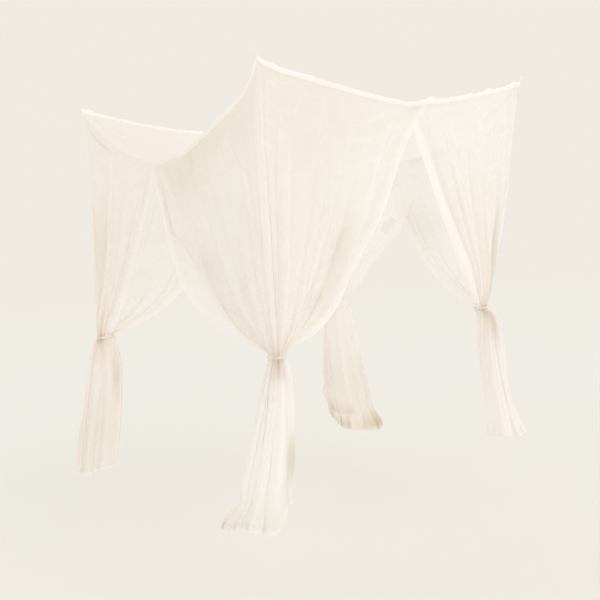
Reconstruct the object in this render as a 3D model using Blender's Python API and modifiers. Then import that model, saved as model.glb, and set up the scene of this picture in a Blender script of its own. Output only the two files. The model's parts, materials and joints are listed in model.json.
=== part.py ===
# Mosquito net canopy for a double bed, hung from four points overhead.
# The roof net sags between its corners. Each corner has one curtain that runs from the
# middle of one side, round the corner, to the middle of the next, and is gathered in a tie.
#
# Metres, +Z up. The origin is where a hook bears in the front corner's hanging loop.
# +X runs along the long side from the front corner to the right corner,
# +Y runs along the short side from the front corner to the left corner.

import math
from collections import namedtuple

import bmesh
import bpy
from mathutils import Matrix, Vector

LONG_SIDE = 2.10
SHORT_SIDE = 1.90

CLOTH = 0.0015  # thickness of every net sheet
TAPE = 0.0016  # thickness of the header tape
HEADER_HEIGHT = 0.026
HEADER_OUTSIDE = 0.0018  # middle of the tape, outside the sewing line
HEADER_SHORT = 0.004  # left free at each end, where the tapes meet at a corner
CURTAIN_INSIDE = 0.0022  # middle of an outer curtain, inside the sewing line
CURTAIN_BELOW = 0.007  # its top edge, below the roof's edge
LAYER_GAP = 0.006  # an inner curtain is this much further in, and lower, where two overlap
LAYER_SPREAD = 0.07  # it swings in by up to a quarter of this on the way down
CORNER_ROUND = 0.02
EDGE_BOW = 0.01  # how far the middle of each roof edge is drawn in
EDGE_DIP = 0.045  # a free edge droops this much just before it reaches the tie
ROOF_SLACK = 0.9  # share of the edges' sag that the middle of the roof follows
ROOF_CELLS = (0.0, 0.012, 0.035, 0.07, 0.12, 0.20, 0.30, 0.40, 0.50, 0.60, 0.70, 0.80, 0.90, 1.0)
ROOF_CREASE = 0.010

CURTAIN_COLUMNS = 28
FOLDS = 7  # main folds in one curtain
NECK_WRAP = math.radians(162)  # how far round the gathered neck each half reaches
NECK_HALF_HEIGHT = 0.016
NECK_FOLD = 0.007
LIFT_FROM = 0.18  # share of a half curtain, from its corner, where the hem starts to rise
LIFT_OVER = 0.35  # the share that the rise takes

TIE_HEIGHT = 0.022
TIE_THICK = 0.002
TIE_CLEAR = 0.0035
TIE_SIDES = 20
KNOT_SIZE = (0.013, 0.010, 0.009)

LOOP_REACH = 0.030  # corner of the cloth to where the hook bears
LOOP_TILT = math.radians(52)
LOOP_WIDTH = 0.020
LOOP_WALL = 0.0018
LOOP_TAPE = 0.010
LOOP_STANDOFF = 0.006  # its foot, outside the corner of the cloth
LOOP_POINTS = 14

NET_COLOUR = (0.86, 0.82, 0.72)
TAPE_COLOUR = (0.93, 0.91, 0.86)
TIE_COLOUR = (0.84, 0.79, 0.68)

# How far below the front corner's loop the cloth of the front corner starts.
FRONT_CLOTH = Vector((math.cos(LOOP_TILT), 0, -math.sin(LOOP_TILT))) * LOOP_REACH

# A row for each corner, going round. x, y, z: the corner of the roof, from the front one.
# knot: the middle of the tie, and hem: the middle of the leg's lower end, from the corner.
# neck, leg: half widths along the diagonal and across it, at the tie and at the hem.
# flare: below 1 the leg widens early. swing: above 1 it leaves the plumb line late.
# kick: how far the lowest hem turns out. post: straight, as below, for the corner itself.
# shoulder: how far out the leg's middle steps just below the tie.
# shift: where the first fold starts, in radians of a fold, so that no two curtains match.
Corner = namedtuple("Corner", "x y z knot hem neck leg flare swing kick post shoulder shift")
CORNERS = {
    "front": Corner(
        0.0, 0.0, 0.0, (0.132, 0.133, -1.485), (0.012, 0.212, -2.345),
        (0.042, 0.046), (0.122, 0.150), 0.75, 1.5, 0.024, 0.9, 0.0, 0.4,
    ),
    "right": Corner(
        LONG_SIDE, 0.0, 0.02, (-0.13, 0.268, -1.440), (-0.08, 0.12, -2.300),
        (0.034, 0.046), (0.094, 0.105), 0.28, 1.5, 0.006, 0.6, 0.044, 1.9,
    ),
    "rear": Corner(
        LONG_SIDE, SHORT_SIDE, -0.015, (-0.05, -0.13, -1.390), (-0.050, -0.260, -2.480),
        (0.055, 0.065), (0.135, 0.185), 0.45, 1.6, 0.010, 0.7, 0.0, 3.1,
    ),
    "left": Corner(
        0.0, SHORT_SIDE, 0.0, (0.019, -0.067, -1.475), (-0.09, -0.04, -2.370),
        (0.050, 0.050), (0.123, 0.122), 0.28, 1.4, 0.006, 1.1, 0.0, 4.6,
    ),
}

# A row for each half curtain: corner, then the corner it runs towards.
# reach: its width along the roof edge. layer: 0 outside, 1 inside where two overlap.
# straight, belly: its free edge falls as straight * s + (1 - straight) * s ** belly.
# lift: how much higher than the corner's its hem ends, the cloth being drawn up by the tie.
Half = namedtuple("Half", "reach layer straight belly lift")
HALVES = {
    ("front", "left"): Half(1.064, 0, 0.30, 6.0, 0.00),
    ("front", "right"): Half(1.060, 0, 0.40, 5.0, 0.13),
    ("right", "front"): Half(1.052, 1, 1.00, 3.0, 0.04),
    ("right", "rear"): Half(1.200, 0, 0.45, 4.0, 0.03),
    ("rear", "right"): Half(1.050, 1, 0.10, 2.2, 0.04),
    ("rear", "left"): Half(1.060, 0, 0.50, 4.0, 0.17),
    ("left", "rear"): Half(1.055, 1, 0.40, 7.0, 0.03),
    ("left", "front"): Half(0.850, 1, 0.90, 2.0, 0.05),
}

# The roof edge between two corners. sag: how far its middle hangs below the line that joins
# them. taut: 0 for an even curve, 1 for two straight runs that meet in the middle.
# slump: how much further it drops right beside the front corner.
Edge = namedtuple("Edge", "sag taut slump")
EDGES = {
    ("front", "right"): Edge(0.175, 0.5, 0.022),
    ("right", "rear"): Edge(0.380, 0.1, 0.0),
    ("rear", "left"): Edge(0.112, 0.0, 0.0),
    ("left", "front"): Edge(0.420, 0.2, 0.078),
}
SLUMP_OVER = 0.045  # metres from the corner in which most of the slump comes
SLUMP_REACH = 0.30  # metres in which it is gone again along the edge
SLUMP_ROOF = 0.16  # and across the roof
SLUMP_BELOW = 0.012  # how much more of the curtain's top edge the tape covers there

# Rows of a curtain. part: above the tie, or the leg below it. at: how far down that part.
# fold: how deep the main folds are there, from middle to crest.
Row = namedtuple("Row", "part at fold")
ROWS = (
    Row("above", 0.00, 0.000),
    Row("above", 0.09, 0.004),
    Row("above", 0.24, 0.010),
    Row("above", 0.42, 0.016),
    Row("above", 0.60, 0.021),
    Row("above", 0.76, 0.024),
    Row("above", 0.88, 0.022),
    Row("above", 0.96, 0.014),
    Row("above", 1.00, NECK_FOLD),
    Row("leg", 0.00, NECK_FOLD),
    Row("leg", 0.05, 0.012),
    Row("leg", 0.18, 0.018),
    Row("leg", 0.42, 0.024),
    Row("leg", 0.68, 0.028),
    Row("leg", 0.90, 0.030),
    Row("leg", 1.00, 0.032),
)

names = list(CORNERS)


def neighbours(name):
    """The corners before and after this one, going round."""
    at = names.index(name)
    return names[at - 1], names[(at + 1) % len(names)]


def corner_point(name):
    corner = CORNERS[name]
    return FRONT_CLOTH + Vector((corner.x, corner.y, corner.z))


def along(name, towards):
    """The level direction from one corner to another."""
    step = corner_point(towards) - corner_point(name)
    step.z = 0
    return step.normalized()


def side_length(a, b):
    step = corner_point(b) - corner_point(a)
    return math.hypot(step.x, step.y)


def sag_of(a, b, share):
    """How far the roof edge from a to b hangs below the line between them, without slump."""
    edge = EDGES.get((a, b)) or EDGES[(b, a)]
    bent = 1 - abs(2 * share - 1)
    return edge.sag * ((1 - edge.taut) * hang(share) + edge.taut * bent)


def slump_of(a, b, share):
    edge = EDGES.get((a, b)) or EDGES[(b, a)]
    away = side_length(a, b) * (share if a == "front" else 1 - share)
    return edge.slump * (1 - math.exp(-away / SLUMP_OVER)) * math.exp(-((away / SLUMP_REACH) ** 2))


def drop_of(a, b, share):
    return sag_of(a, b, share) + slump_of(a, b, share)


def hang(share):
    """0 at both ends of a hanging edge, 1 in its middle."""
    return 4 * share * (1 - share)


def soft_step(x):
    x = min(max(x, 0.0), 1.0)
    return x * x * (3 - 2 * x)


def edge_point(a, b, distance, inside=0.0):
    """A point of the roof edge from corner a to corner b, moved level to its inside."""
    length = side_length(a, b)
    share = distance / length
    point = corner_point(a).lerp(corner_point(b), share)
    point.z -= drop_of(a, b, share)
    before, after = neighbours(a)
    inward = along(a, after if b == before else before)
    return point + inward * (EDGE_BOW * hang(share) + inside)


def roof_point(p, q):
    """The roof net at shares p along the long sides and q along the short ones."""
    front = edge_point("front", "right", p * LONG_SIDE)
    rear = edge_point("left", "rear", p * LONG_SIDE)
    left = edge_point("front", "left", q * SHORT_SIDE)
    right = edge_point("right", "rear", q * SHORT_SIDE)
    flat = corner_point("front").lerp(corner_point("right"), p).lerp(
        corner_point("left").lerp(corner_point("rear"), p), q
    )
    point = front.lerp(rear, q) + left.lerp(right, p) - flat
    across = slump_of("front", "left", q), slump_of("front", "right", p)
    away = p * LONG_SIDE, q * SHORT_SIDE
    for slump, share, off in zip(across, (p, q), away):
        point.z += slump * (1 - share - math.exp(-((off / SLUMP_ROOF) ** 2)))
    point.z += (1 - ROOF_SLACK) * (flat.z - point.z) * hang(p) * hang(q)
    crease = math.sin(9.0 * p + 2.1) * math.sin(8.0 * q + 0.7)
    point.z += ROOF_CREASE * crease * hang(p) * hang(q)
    return point


def fold_wave(share, shift):
    """The main folds across a curtain, uneven in width and depth; share runs from 0 to 1."""
    phase = 2 * math.pi * FOLDS * share + 1.1 * math.sin(2 * math.pi * 1.7 * share + shift)
    depth = 0.75 + 0.25 * math.sin(2 * math.pi * 2.3 * share + 2 * shift)
    return depth * math.sin(phase + shift)


class Curtain:
    """One corner's curtain. t is metres along the roof edge from the corner, negative on
    the side towards the corner before, positive on the side towards the one after."""

    def __init__(self, name):
        self.name = name
        self.corner = CORNERS[name]
        self.before, self.after = neighbours(name)
        self.halves = (HALVES[(name, self.before)], HALVES[(name, self.after)])
        self.to_before = along(name, self.before)
        self.to_after = along(name, self.after)
        self.outward = -(self.to_before + self.to_after).normalized()
        self.across = (self.to_after - self.to_before).normalized()
        self.top = corner_point(name)
        self.knot = self.top + Vector(self.corner.knot)
        self.hem = self.top + Vector(self.corner.hem)

    def half(self, t):
        return self.halves[0] if t < 0 else self.halves[1]

    def top_point(self, t):
        """The sheet's upper edge and its outward direction there."""
        bend = math.hypot(t, CORNER_ROUND)
        after, before = (t + bend) / 2, (bend - t) / 2
        half = self.half(t)
        inside = CURTAIN_INSIDE + half.layer * LAYER_GAP * soft_step(abs(t) / 0.4)
        length_after = side_length(self.name, self.after)
        length_before = side_length(self.name, self.before)
        share_after, share_before = after / length_after, before / length_before
        other = self.after if t > 0 else self.before
        level = corner_point(other).z - self.top.z
        point = self.top.copy()
        point += self.to_after * (after + inside + EDGE_BOW * hang(share_before))
        point += self.to_before * (before + inside + EDGE_BOW * hang(share_after))
        point.z += level * max(share_after, share_before)
        point.z -= drop_of(self.name, self.after, share_after)
        point.z -= drop_of(self.name, self.before, share_before)
        point.z -= CURTAIN_BELOW + inside - CURTAIN_INSIDE
        if self.name == "front":
            point.z -= SLUMP_BELOW * math.exp(-((t / SLUMP_REACH) ** 2))
        turned = after / (after + before)
        outward = -(self.to_before * turned + self.to_after * (1 - turned))
        return point, outward.normalized()

    def ring_point(self, t, middle, sizes):
        """A point of the gathered cloth's section round middle, and its outward direction."""
        angle = t / self.half(t).reach * NECK_WRAP
        deep, wide = sizes
        arm = self.outward * (deep * math.cos(angle)) + self.across * (wide * math.sin(angle))
        return middle + arm, arm.normalized()

    def above(self, t, s):
        """The sheet between the roof edge (s = 0) and the tie (s = 1), without its folds."""
        start, out_top = self.top_point(t)
        neck_top = self.knot + Vector((0, 0, NECK_HALF_HEIGHT))
        end, out_ring = self.ring_point(t, neck_top, self.corner.neck)
        half = self.half(t)
        edge = (abs(t) / half.reach) ** 1.5
        straight = self.corner.post + (half.straight - self.corner.post) * edge
        pull = straight * s + (1 - straight) * s**half.belly
        point = start.lerp(end, pull)
        point.z = start.z + (end.z - start.z) * s - EDGE_DIP * edge * hang(s**4)
        point -= out_top * (half.layer * LAYER_SPREAD * s * (1 - s))
        return point, out_top.lerp(out_ring, pull).normalized()

    def leg(self, t, s):
        """The sheet between the tie (s = 0) and the hem (s = 1), without its folds."""
        half, corner = self.half(t), self.corner
        neck_low = self.knot - Vector((0, 0, NECK_HALF_HEIGHT))
        middle = neck_low.lerp(self.hem, s**corner.swing)
        middle.z = neck_low.z + (self.hem.z - neck_low.z) * s
        middle += self.outward * (corner.shoulder * (1 - math.exp(-s / 0.03)) * (1 - s))
        spread = s**corner.flare
        kick = corner.kick * soft_step((s - 0.8) / 0.2)
        sizes = [n + (w - n) * spread + kick for n, w in zip(corner.neck, corner.leg)]
        point, outward = self.ring_point(t, middle, sizes)
        lift = half.lift * soft_step((abs(t) / half.reach - LIFT_FROM) / LIFT_OVER)
        point.z += lift * s
        return point, outward

    def point(self, u, row):
        """The sheet's middle at share u of its width, in this row."""
        t = -self.halves[0].reach + u * (self.halves[0].reach + self.halves[1].reach)
        base, outward = (self.above if row.part == "above" else self.leg)(t, row.at)
        return base + outward * (row.fold * fold_wave(u, self.corner.shift))


def material(name, colour, roughness):
    made = bpy.data.materials.new(name)
    made.use_nodes = True
    shader = made.node_tree.nodes["Principled BSDF"]
    shader.inputs["Base Color"].default_value = (*colour, 1)
    shader.inputs["Roughness"].default_value = roughness
    shader.inputs["Metallic"].default_value = 0
    return made


def object_from(name, mesh, finish):
    made = bpy.data.objects.new(name, mesh)
    mesh.materials.append(finish)
    parts.objects.link(made)
    made.parent = hanging
    return made


def sheet(name, columns, rows, place, thickness, finish):
    """A grid whose point at column i and row j is place(i / columns, j), made solid."""
    mesh = bpy.data.meshes.new(name)
    bm = bmesh.new()
    bmesh.ops.create_grid(bm, x_segments=columns, y_segments=rows, size=0.5)
    for vert in bm.verts:
        i = round((vert.co.x + 0.5) * columns)
        j = round((0.5 - vert.co.y) * rows)
        vert.co = place(i / columns, j)
    bm.to_mesh(mesh)
    bm.free()
    mesh.shade_smooth()
    made = object_from(name, mesh, finish)
    solidify = made.modifiers.new("thickness", "SOLIDIFY")
    solidify.thickness = thickness
    solidify.offset = 0
    return made


def make_roof():
    cells = len(ROOF_CELLS) - 1
    sheet(
        "roof_net", cells, cells,
        lambda p, j: roof_point(ROOF_CELLS[round(p * cells)], ROOF_CELLS[j]), CLOTH, net,
    )


def make_header(a, b):
    """The tape that binds the roof net and the curtains along one side."""
    length = side_length(a, b)

    def place(share, j):
        if a == "front":
            share = share**2  # closer together where it slumps
        if b == "front":
            share = 1 - (1 - share) ** 2
        distance = HEADER_SHORT + share * (length - 2 * HEADER_SHORT)
        return edge_point(a, b, distance, -HEADER_OUTSIDE) - Vector((0, 0, j * HEADER_HEIGHT))

    sheet(f"header_{a}_{b}", 18, 1, place, TAPE, tape)


def make_curtain(name):
    curtain = Curtain(name)
    sheet(
        f"curtain_{name}", CURTAIN_COLUMNS, len(ROWS) - 1,
        lambda u, j: curtain.point(u, ROWS[j]), CLOTH, net,
    )


def make_tie(name):
    """The band round a curtain's neck, with a flat knot on its inner side."""
    curtain = Curtain(name)
    around = NECK_FOLD + CLOTH / 2 + TIE_CLEAR
    deep, wide = (size + around for size in curtain.corner.neck)
    bm = bmesh.new()
    bmesh.ops.create_cone(
        bm, cap_ends=False, segments=TIE_SIDES, radius1=1, radius2=1, depth=TIE_HEIGHT
    )
    turn = Matrix((curtain.outward, curtain.across, Vector((0, 0, 1)))).transposed().to_4x4()
    bmesh.ops.scale(bm, verts=bm.verts, vec=(deep, wide, 1))
    bmesh.ops.transform(bm, verts=bm.verts, matrix=Matrix.Translation(curtain.knot) @ turn)
    bmesh.ops.recalc_face_normals(bm, faces=bm.faces)
    mesh = bpy.data.meshes.new(f"tie_{name}")
    bm.to_mesh(mesh)
    bm.free()
    band = object_from(f"tie_{name}", mesh, tie_net)
    solidify = band.modifiers.new("thickness", "SOLIDIFY")
    solidify.thickness = TIE_THICK
    solidify.offset = 1

    bm = bmesh.new()
    bmesh.ops.create_uvsphere(bm, u_segments=8, v_segments=6, radius=1)
    bmesh.ops.scale(bm, verts=bm.verts, vec=KNOT_SIZE)
    at = curtain.knot - curtain.outward * (deep + TIE_THICK + 0.6 * KNOT_SIZE[0])
    bmesh.ops.transform(bm, verts=bm.verts, matrix=Matrix.Translation(at) @ turn)
    knot_mesh = bpy.data.meshes.new(f"knot_{name}")
    bm.to_mesh(knot_mesh)
    bm.free()
    knot = bpy.data.objects.new(f"knot_{name}", knot_mesh)
    cutters.objects.link(knot)
    knot.hide_render = True
    knot.display_type = "WIRE"
    joined = band.modifiers.new("knot", "BOOLEAN")
    joined.operation = "UNION"
    joined.object = knot


def teardrop(length, width, foot):
    """A closed outline, pointed at its foot and round at its far end, in x along its length."""
    for k in range(LOOP_POINTS):
        angle = 2 * math.pi * (k + 0.5) / LOOP_POINTS
        yield (
            foot + length * (1 - math.cos(angle)) / 2,
            0.65 * width * math.sin(angle) * abs(math.sin(angle / 2)),
        )


def make_loop(name):
    """The little tape loop sewn to a corner of the roof, pulled up and out by its hook."""
    curve = bpy.data.curves.new(f"loop_{name}", "CURVE")
    curve.dimensions = "2D"
    curve.fill_mode = "BOTH"
    curve.extrude = LOOP_TAPE / 2
    outer = LOOP_REACH - LOOP_STANDOFF + LOOP_WALL
    outlines = (
        (outer, LOOP_WIDTH, 0.0),
        (outer - 4 * LOOP_WALL, LOOP_WIDTH - 2 * LOOP_WALL, 3 * LOOP_WALL),
    )
    for length, width, foot in outlines:
        spline = curve.splines.new("POLY")
        spline.points.add(LOOP_POINTS - 1)
        spline.use_cyclic_u = True
        for point, (x, y) in zip(spline.points, teardrop(length, width, foot)):
            point.co = (x, y, 0, 1)
    curve.materials.append(tape)
    loop = bpy.data.objects.new(f"loop_{name}", curve)
    parts.objects.link(loop)
    loop.parent = hanging
    side = 1 if CORNERS[name].x else -1
    pull = Vector((side * math.cos(LOOP_TILT), 0, math.sin(LOOP_TILT)))
    hole_axis = Vector((0, 1, 0))
    turn = Matrix((pull, hole_axis.cross(pull), hole_axis)).transposed().to_4x4()
    loop.matrix_world = Matrix.Translation(corner_point(name) + pull * LOOP_STANDOFF) @ turn


for old in list(bpy.data.objects):
    bpy.data.objects.remove(old, do_unlink=True)

parts = bpy.data.collections.new("mosquito_net_canopy")
cutters = bpy.data.collections.new("joined_shapes")
for collection in (parts, cutters):
    bpy.context.scene.collection.children.link(collection)
hanging = bpy.data.objects.new("canopy", None)
parts.objects.link(hanging)

net = material("ivory_net", NET_COLOUR, 0.85)
tape = material("white_tape", TAPE_COLOUR, 0.8)
tie_net = material("tie_net", TIE_COLOUR, 0.85)

make_roof()
for start, end in EDGES:
    make_header(start, end)
for corner_name in CORNERS:
    make_curtain(corner_name)
    make_tie(corner_name)
    make_loop(corner_name)
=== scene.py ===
# Looks of the mosquito net canopy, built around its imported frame.
# Metres, +Z up. Every net piece follows the surface of the frame's solid, with its fine folds.
import json
import math

import bmesh
import bpy
import numpy as np
from mathutils import Euler, Matrix, Vector


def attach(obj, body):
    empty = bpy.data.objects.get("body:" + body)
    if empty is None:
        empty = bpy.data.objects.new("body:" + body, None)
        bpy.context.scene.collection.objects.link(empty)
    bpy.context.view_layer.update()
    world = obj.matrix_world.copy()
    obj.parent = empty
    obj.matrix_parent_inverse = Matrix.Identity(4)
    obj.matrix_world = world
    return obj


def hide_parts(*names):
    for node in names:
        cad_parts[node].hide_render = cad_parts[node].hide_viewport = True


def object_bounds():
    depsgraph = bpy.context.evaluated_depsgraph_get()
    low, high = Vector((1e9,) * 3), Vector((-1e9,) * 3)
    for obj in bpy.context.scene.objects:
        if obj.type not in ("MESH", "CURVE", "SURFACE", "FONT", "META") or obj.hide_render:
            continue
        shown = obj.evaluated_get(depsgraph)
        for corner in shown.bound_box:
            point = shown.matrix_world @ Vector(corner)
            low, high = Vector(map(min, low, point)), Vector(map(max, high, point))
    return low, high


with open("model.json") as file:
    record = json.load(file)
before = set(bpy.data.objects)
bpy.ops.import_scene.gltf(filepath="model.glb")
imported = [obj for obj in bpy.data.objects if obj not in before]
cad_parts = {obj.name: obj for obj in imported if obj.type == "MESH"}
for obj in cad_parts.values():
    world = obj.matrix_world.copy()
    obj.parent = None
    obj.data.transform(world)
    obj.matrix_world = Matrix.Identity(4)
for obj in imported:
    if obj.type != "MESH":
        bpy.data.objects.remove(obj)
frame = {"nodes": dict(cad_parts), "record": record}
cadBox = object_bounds()
scene = bpy.context.scene
scene.view_settings.view_transform = "Standard"
# light goes through many layers of pale cloth before it is gone
scene.cycles.max_bounces = 20
scene.cycles.diffuse_bounces = 14
scene.cycles.transmission_bounces = 14
scene.cycles.transparent_max_bounces = 20
print("frame loaded:", len(frame["nodes"]), "nodes")

view = {
    "place": (-2.4425, -3.2040, -0.8716),
    "heading": 50.41,  # degrees from +X
    "tilt": -4.76,
    "roll": -3.10,
    "lens": 49.9,
}
studio = {
    "backdrop": (0.863, 0.831, 0.761),  # colour of the wall and the lit floor behind
    "air": (0.880, 0.862, 0.828),  # light from all round
    "floorMiddle": (1, 1),
    "floorDrop": 0.35,  # floor below the lowest hem
    "floorSize": 60.0,
    "floorLit": (1.0, 0.992, 0.975),  # share of the light that reaches it past the net
    "floorFade": (5.0, 26.0),  # the floor blends into the air between these distances
    # aim: where a light comes from, as degrees from +X and degrees above level
    "lights": {
        "key": {"aim": (-78.0, 24.0), "strength": 0.62, "softness": 70.0},
        "leftFill": {"aim": (-165.0, 18.0), "strength": 0.26, "softness": 100.0},
        "backFill": {"aim": (70.0, 20.0), "strength": 0.30, "softness": 100.0},
    },
}


def makeCamera():
    data = bpy.data.cameras.new("camera")
    data.lens = view["lens"]
    camera = bpy.data.objects.new("camera", data)
    scene.collection.objects.link(camera)
    turn = Euler((math.radians(90 + view["tilt"]), 0, math.radians(view["heading"] - 90)))
    roll = Matrix.Rotation(math.radians(view["roll"]), 4, "Z")
    camera.matrix_world = Matrix.Translation(view["place"]) @ turn.to_matrix().to_4x4() @ roll
    scene.camera = camera


def makeSun(name, aim, strength, softness):
    data = bpy.data.lights.new(name, "SUN")
    data.energy = strength
    data.angle = math.radians(softness)
    sun = bpy.data.objects.new(name, data)
    across, above = (math.radians(a) for a in aim)
    towards = Vector((math.cos(across) * math.cos(above), math.sin(across) * math.cos(above),
                      math.sin(above)))
    sun.rotation_euler = towards.to_track_quat("Z", "Y").to_euler()
    scene.collection.objects.link(sun)
    return strength * math.sin(above) / math.pi  # what it adds to a level white surface


# the world lights everything in the air's colour, and the camera sees the backdrop's
def makeStudio():
    world = bpy.data.worlds.new("studio")
    world.use_nodes = True
    tree = world.node_tree
    seen = addNode(tree, "ShaderNodeLightPath").outputs["Is Camera Ray"]
    colour = mixColour(tree, seen, studio["air"], studio["backdrop"])
    tree.links.new(colour, tree.nodes["Background"].inputs["Color"])
    scene.world = world
    added = sum(makeSun(name, **light) for name, light in studio["lights"].items())
    bm = bmesh.new()
    bmesh.ops.create_circle(bm, cap_ends=True, segments=64, radius=studio["floorSize"])
    height = cadBox[0].z - studio["floorDrop"]
    bmesh.ops.translate(bm, verts=bm.verts, vec=(*studio["floorMiddle"], height))
    floor = newPiece("floor", bm, floorMaterial(added))
    print("studio made:", len(studio["lights"]), "lights")


def newPiece(name, bm, finish):
    mesh = bpy.data.meshes.new(name)
    bm.to_mesh(mesh)
    bm.free()
    mesh.shade_smooth()
    mesh.materials.append(finish)
    piece = bpy.data.objects.new(name, mesh)
    scene.collection.objects.link(piece)
    return piece


weldWithin = 0.00001


# points: an array of rows x columns x 3, with a value of each attribute for every point
# folds: the columns and rows along which the cloth is turned back on itself
def gridPiece(name, points, finish, uv, attributes=None, closed=False, folds=((), ())):
    rows, columns = points.shape[:2]
    bm = bmesh.new()
    bmesh.ops.create_grid(bm, x_segments=columns - 1, y_segments=rows - 1, size=1)
    piece = newPiece(name, bm, finish)
    mesh = piece.data
    mesh.vertices.foreach_set("co", points.astype(np.float32).ravel())
    for key, values in (attributes or {}).items():
        made = mesh.attributes.new(key, "FLOAT", "POINT")
        filled = np.broadcast_to(values, (rows, columns)).astype(np.float32)
        made.data.foreach_set("value", filled.ravel())
    layer = mesh.uv_layers.new(name="cloth")
    corner = np.empty(len(mesh.loops), np.int32)
    mesh.loops.foreach_get("vertex_index", corner)
    layer.uv.foreach_set("vector", uv.reshape(-1, 2)[corner].astype(np.float32).ravel())
    ends = np.empty(2 * len(mesh.edges), np.int32)
    mesh.edges.foreach_get("vertices", ends)
    row, column = np.divmod(ends.reshape(-1, 2), columns)
    sharp = np.zeros(len(mesh.edges), bool)
    for way, marked in zip((column, row), folds):
        for line in marked:
            sharp |= (way == line).all(axis=1)
    mesh.attributes.new("sharp_edge", "BOOLEAN", "EDGE").data.foreach_set("value", sharp)
    if closed:
        bm = bmesh.new()
        bm.from_mesh(mesh)
        bmesh.ops.remove_doubles(bm, verts=bm.verts, dist=weldWithin)
        bmesh.ops.recalc_face_normals(bm, faces=bm.faces)
        bm.to_mesh(mesh)
        bm.free()
    mesh.update()
    return piece


# net with no hem of its own, all over
def plainNet(cover, whiteAndHighlight, oliveShadeAndTone=0.0, tanShadeAndStain=0.0):
    return {"cover": cover, "whiteAndHighlight": whiteAndHighlight, "oliveShadeAndTone": oliveShadeAndTone, "tanShadeAndStain": tanShadeAndStain, "side": 1.0, "foot": 1.0}


def place(piece, slot, *nodes):
    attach(piece, "root")
    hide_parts(*nodes)


def lerp(a, b, f):
    return a + (b - a) * np.asarray(f)[..., None]


def unit(v):
    return v / np.maximum(np.linalg.norm(v, axis=-1, keepdims=True), 1e-9)


def softStep(x):
    # 0 up to 0, 1 from 1 on, and smooth between
    x = np.clip(x, 0.0, 1.0)
    return x * x * (3 - 2 * x)


def hang(share):
    # 0 at both ends, 1 in the middle
    return 4 * share * (1 - share)


def bump(x, width):
    # 1 in the middle, and about a third at width on either side
    return np.exp(-((x / width) ** 2))


# height, radians a metre, and how far the seed turns each wave
slowWaves = (0.5, 8.2, 1.0), (0.3, 18.3, 1.7), (0.2, 33.0, 2.9)


def wander(x, seed):
    # a slow uneven wave, about -1 to 1
    return sum(high * np.sin(rate * x + turn * seed) for high, rate, turn in slowWaves)


def cloud(x, y, seed):
    # soft uneven patches, about -1 to 1
    warped = x + 0.12 * np.sin(6.1 * y + seed) + 0.07 * np.sin(15.7 * y - 2 * seed)
    tilted = y + 0.10 * np.sin(7.3 * x + 2 * seed) + 0.06 * np.sin(17.9 * x + seed)
    return (0.4 * np.sin(9.1 * warped + seed) * np.sin(7.7 * tilted + 2.3 * seed)
            + 0.35 * np.sin(19.3 * warped - 11.0 * tilted + seed)
            * np.sin(13.0 * tilted + 5.1 * warped)
            + 0.25 * np.sin(31.0 * warped + 1.3 * seed) * np.sin(27.0 * tilted - seed))


netFinish = {
    "thin": (0.964, 0.921, 0.887),
    "cream": (0.957, 0.921, 0.868),
    # olive: painted shade, for shaded sides, creases, tuck bottoms and lines under the headers, and
    # for patches of uneven tone
    "oliveShadeAndTone": (0.79, 0.735, 0.60),
    # tan: painted shade of the gathered cloth below the ties, and darker towards the foot, with
    # some stains
    "tanShadeAndStain": (0.79, 0.66, 0.49),
    # white: the hems' and bunched net's own whiteness, and painted highlights on ridges, crinkles
    # and lit parts
    "whiteAndHighlight": (0.999, 0.987, 0.978),
    "patches": 3.1,  # how many patches of thin and cream in a metre
    "mesh": 0.002,  # from thread to thread
    "translucent": 0.5,
    "rough": 0.85,
    "sheen": 0.8,
    "sheenRough": 0.35,
    "crinkles": {"across": 26.0, "down": 11.0, "strength": 0.30, "high": 0.006},
    "sideHem": 0.055,
    "footHem": 0.040,
    "sewnInside": 0.003,  # a hem's sewn row, from the edge of its turned cloth
    "sewnWide": 0.0014,
    "stitch": 0.004,
}
tapeFinish = {
    "colour": (0.995, 0.99, 0.98),
    "dull": 0.93,  # in the sewn row and between the fibres
    "translucent": 0.25,
    "rough": 0.8,
    "sheen": 0.1,
    "rib": 0.0022,
    "fuzz": 60.0,
    "high": 0.0006,
    "strength": 0.4,
    "sewnWide": 0.0013,
    "stitch": 0.005,
}
stitchLength = 0.6  # share of the way from one stitch to the next


def addNode(tree, kind, inputs=None, **settings):
    made = tree.nodes.new(kind)
    for key, value in settings.items():
        setattr(made, key, value)
    for key, value in (inputs or {}).items():
        if isinstance(value, bpy.types.NodeSocket):
            tree.links.new(value, made.inputs[key])
        else:
            made.inputs[key].default_value = value
    return made


def calc(tree, operation, *values):
    return addNode(tree, "ShaderNodeMath", dict(enumerate(values)), operation=operation).outputs[0]


def mixColour(tree, factor, first, second):
    made = addNode(tree, "ShaderNodeMix", {"Factor": factor}, data_type="RGBA")
    for key, value in (("A", first), ("B", second)):
        if isinstance(value, tuple):
            made.inputs[key].default_value = (*value, 1)
        else:
            tree.links.new(value, made.inputs[key])
    return made.outputs["Result"]


def newMaterial(name):
    made = bpy.data.materials.new(name)
    made.use_nodes = True
    made.node_tree.nodes.clear()
    return made, made.node_tree


def mixShader(tree, share, first, second):
    return addNode(tree, "ShaderNodeMixShader", {0: share, 1: first, 2: second}).outputs[0]


def seeThrough(tree):
    return addNode(tree, "ShaderNodeBsdfTransparent").outputs[0]


def finishMaterial(tree, shader):
    output = addNode(tree, "ShaderNodeOutputMaterial")
    tree.links.new(shader, output.inputs["Surface"])


def attribute(tree, name):
    return addNode(tree, "ShaderNodeAttribute", attribute_name=name).outputs["Fac"]


def clothPlace(tree):
    uv = addNode(tree, "ShaderNodeUVMap", uv_map="cloth").outputs["UV"]
    split = addNode(tree, "ShaderNodeSeparateXYZ", {0: uv})
    return uv, split.outputs[0], split.outputs[1]


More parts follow.
